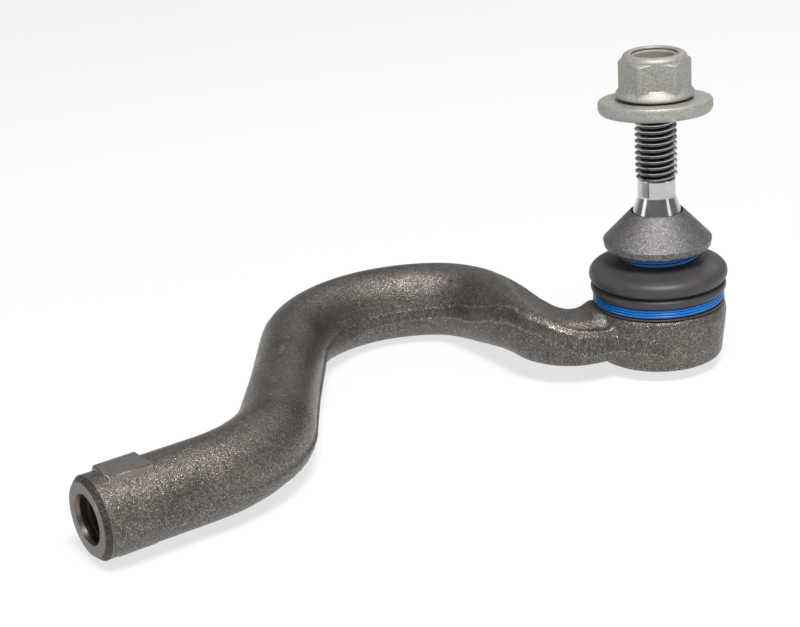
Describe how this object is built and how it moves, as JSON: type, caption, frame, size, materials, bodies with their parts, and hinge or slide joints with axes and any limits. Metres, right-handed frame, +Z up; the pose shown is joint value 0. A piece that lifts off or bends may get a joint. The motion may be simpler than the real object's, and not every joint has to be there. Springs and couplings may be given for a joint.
{
  "type": "tie rod end",
  "caption": "Forged S-bent steering arm with a threaded socket at one end and a booted ball joint, cone collar, threaded stud and captive-washer lock nut at the other.",
  "frame": {"origin": "centre of the outer flat face of the closure plate under the ball, on the ball joint's own axis", "axes": "+Z up the ball joint's axis, from the closure plate to the nut; +X along the threaded shank's axis, from the shank's open end to the ball joint; the arm bows out to +Y between them"},
  "size_m": [0.2047, 0.1008, 0.0916],
  "materials": {
    "forged_steel": "dark blasted and phosphated forging skin, fine speckle",
    "collar_steel": "grey blasted steel",
    "plated_steel": "matte warm grey zinc flake coating",
    "bright_steel": "ground and polished",
    "spring_steel": "smooth, lightly oiled",
    "ring_blue": "saturated blue coating, satin",
    "rubber": "smooth moulded, satin",
    "seat_plastic": "natural acetal",
    "pad_plastic": "dark acetal",
    "insert_plastic": "natural nylon, dusty"
  },
  "bodies": {
    "housing": {"housing": "forged_steel", "closure_plate": "spring_steel", "preload_spring": "spring_steel", "pressure_pad": "pad_plastic", "ball_seat": "seat_plastic", "lower_retaining_ring": "ring_blue"},
    "boot": {"dust_boot": "rubber"},
    "boot_neck": {"upper_retaining_ring": "ring_blue"},
    "stud": {"ball_stud": "bright_steel", "cone_ring": "collar_steel"},
    "washer": {"captive_washer": "plated_steel"},
    "nut": {"nut_body": "plated_steel", "nut_locking_insert": "insert_plastic"}
  },
  "joints": [
    {"name": "stud_tilt_x", "type": "hinge", "parent": "housing", "child": "boot", "pos_m": [0, 0, 0.0135], "axis": [1, 0, 0], "range_deg": [-18, 18], "deforming": ["dust_boot"]},
    {"name": "stud_tilt_y", "type": "hinge", "parent": "boot", "child": "boot_neck", "pos_m": [0, 0, 0.0135], "axis": [0, 1, 0], "range_deg": [-18, 18]},
    {"name": "stud_spin", "type": "hinge", "parent": "boot_neck", "child": "stud", "pos_m": [0, 0, 0.0135], "axis": [0, 0, 1], "continuous": true},
    {"name": "nut_travel", "type": "slide", "parent": "stud", "child": "washer", "axis": [0, 0, 1], "range_m": [-0.02, 0.006]},
    {"name": "nut_spin", "type": "hinge", "parent": "washer", "child": "nut", "pos_m": [0, 0, 0.082], "axis": [0, 0, 1], "range_deg": [-4120, 1240]}
  ],
  "couplings": [
    {"joint": "nut_spin", "follows": "nut_travel", "rad_per_m": 3590.4}
  ]
}
